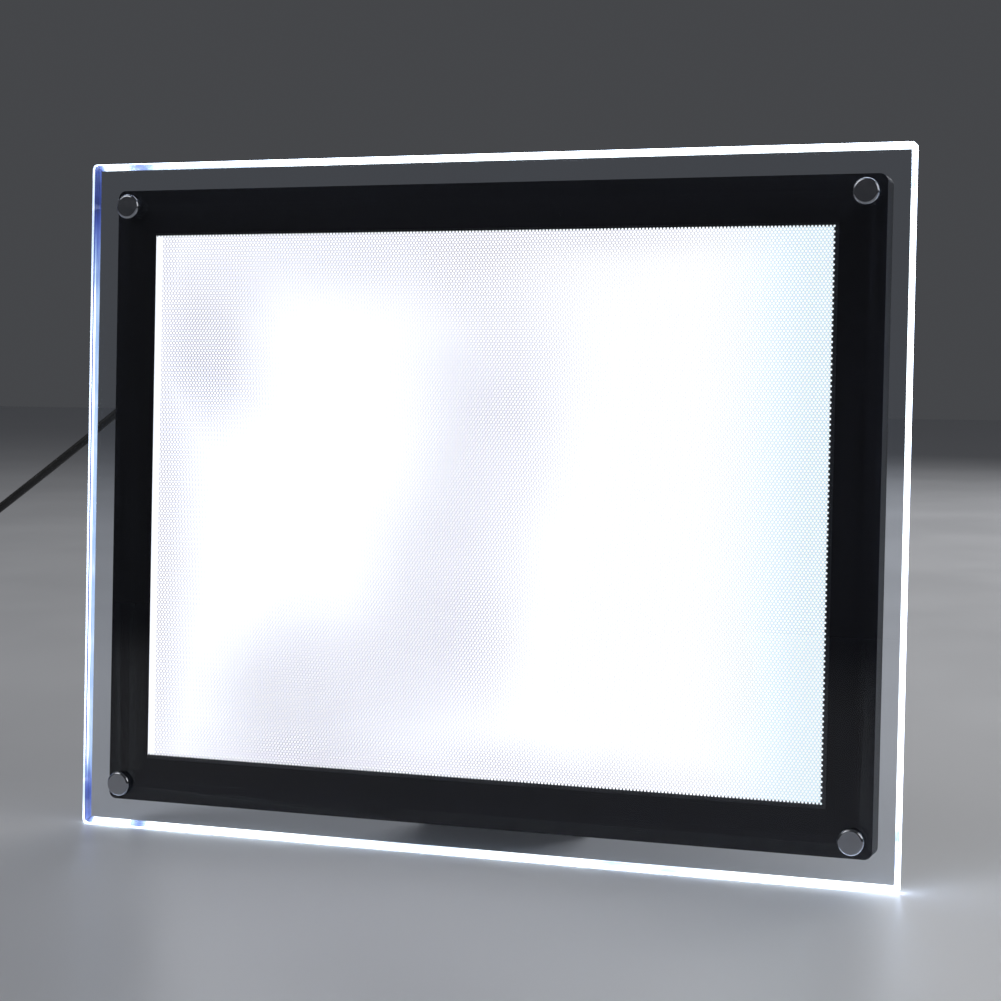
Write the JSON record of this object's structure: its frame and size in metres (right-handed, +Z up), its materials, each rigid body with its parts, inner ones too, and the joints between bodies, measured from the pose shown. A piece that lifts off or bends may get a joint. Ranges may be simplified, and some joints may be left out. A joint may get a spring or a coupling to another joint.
{
  "type": "light box",
  "caption": "Edge-lit acrylic display light box with a black-bordered lit window, chromed corner cap screws, a fold-out rear leg, wall hangers and a USB lead.",
  "frame": {"origin": "on the table, under the middle of the light box without its lead", "axes": "+X to the right along the panel seen from the front, +Y from front to back, +Z up; the panel leans back by 3.4 degrees about X"},
  "size_m": [0.636, 0.0791, 0.2597],
  "materials": {
    "clear_acrylic": "polished clear acrylic",
    "printed_border": "glossy black print seen through the clear sheet",
    "chromed_cap": "turned and chromed",
    "clear_washer": "clear nylon",
    "frame_plastic": "fine-grained moulded plastic",
    "brass": "turned",
    "light_guide": "lit acrylic with printed light dots",
    "white_film": "satin white film",
    "foam": "closed-cell foam",
    "channel_aluminium": "extruded, clear anodised",
    "board_white": "white solder mask",
    "led_phosphor": "yellow phosphor in a white case",
    "resistor_black": "chip resistor",
    "red_insulation": "wire insulation",
    "black_insulation": "wire insulation",
    "junction_rubber": "moulded over",
    "back_plate_black": "fine grained sheet",
    "zinc_screw": "zinc plated",
    "steel_plate": "zinc plated",
    "stand_plastic": "fine-grained moulded plastic",
    "foot_rubber": "soft rubber",
    "lead_jacket": "smooth PVC jacket",
    "tie_fabric": "hook-and-loop strap",
    "plug_plastic": "moulded PVC",
    "plug_steel": "nickel plated",
    "plug_tongue": "white insulator",
    "gold_contact": "gold plated"
  },
  "bodies": {
    "light_box": {"back_plate": "back_plate_black", "back_plate_screws": "zinc_screw", "backing_pad": "foam", "bottom_led_board": "board_white", "bottom_led_channel": "channel_aluminium", "bottom_leds": "led_phosphor", "bottom_resistors": "resistor_black", "coil_tie": "tie_fabric", "hanger_plates": "steel_plate", "hanger_screws": "zinc_screw", "hinge_pin": "steel_plate", "lead_coil": "lead_jacket", "lead_tail": "lead_jacket", "light_guide_plate": "light_guide", "negative_wire": "black_insulation", "positive_wire": "red_insulation", "power_lead": "lead_jacket", "rear_frame": "frame_plastic", "reflector_sheet": "white_film", "side_spacers": "foam", "stand_bracket": "stand_plastic", "stand_bracket_screws": "zinc_screw", "strain_relief": "lead_jacket", "threaded_inserts": "brass", "top_led_board": "board_white", "top_led_channel": "channel_aluminium", "top_leds": "led_phosphor", "top_resistors": "resistor_black", "usb_contacts": "gold_contact", "usb_plug_body": "plug_plastic", "usb_plug_shell": "plug_steel", "usb_plug_tongue": "plug_tongue", "wire_junction": "junction_rubber"},
    "front_cover": {"front_panel": "clear_acrylic", "border_mask": "printed_border"},
    "stand_leg": {"stand_leg": "stand_plastic", "stand_foot": "foot_rubber"},
    "top_left_cap": {"cap_screw_top_left": "chromed_cap", "cap_washer_top_left": "clear_washer"},
    "top_right_cap": {"cap_screw_top_right": "chromed_cap", "cap_washer_top_right": "clear_washer"},
    "bottom_left_cap": {"cap_screw_bottom_left": "chromed_cap", "cap_washer_bottom_left": "clear_washer"},
    "bottom_right_cap": {"cap_screw_bottom_right": "chromed_cap", "cap_washer_bottom_right": "clear_washer"}
  },
  "joints": [
    {"name": "front_cover_release", "type": "slide", "parent": "light_box", "child": "front_cover", "axis": [0, -0.9982, 0.0593], "range_m": [0, 0.04]},
    {"name": "top_left_cap_unscrew", "type": "slide", "parent": "front_cover", "child": "top_left_cap", "axis": [0, -0.9982, 0.0593], "range_m": [0, 0.016]},
    {"name": "top_right_cap_unscrew", "type": "slide", "parent": "front_cover", "child": "top_right_cap", "axis": [0, -0.9982, 0.0593], "range_m": [0, 0.016]},
    {"name": "bottom_left_cap_unscrew", "type": "slide", "parent": "front_cover", "child": "bottom_left_cap", "axis": [0, -0.9982, 0.0593], "range_m": [0, 0.016]},
    {"name": "bottom_right_cap_unscrew", "type": "slide", "parent": "front_cover", "child": "bottom_right_cap", "axis": [0, -0.9982, 0.0593], "range_m": [0, 0.016]},
    {"name": "stand_leg_fold", "type": "hinge", "parent": "light_box", "child": "stand_leg", "pos_m": [0, 0.00262, 0.13363], "axis": [1, 0, 0], "range_deg": [-12.9, 0]}
  ]
}
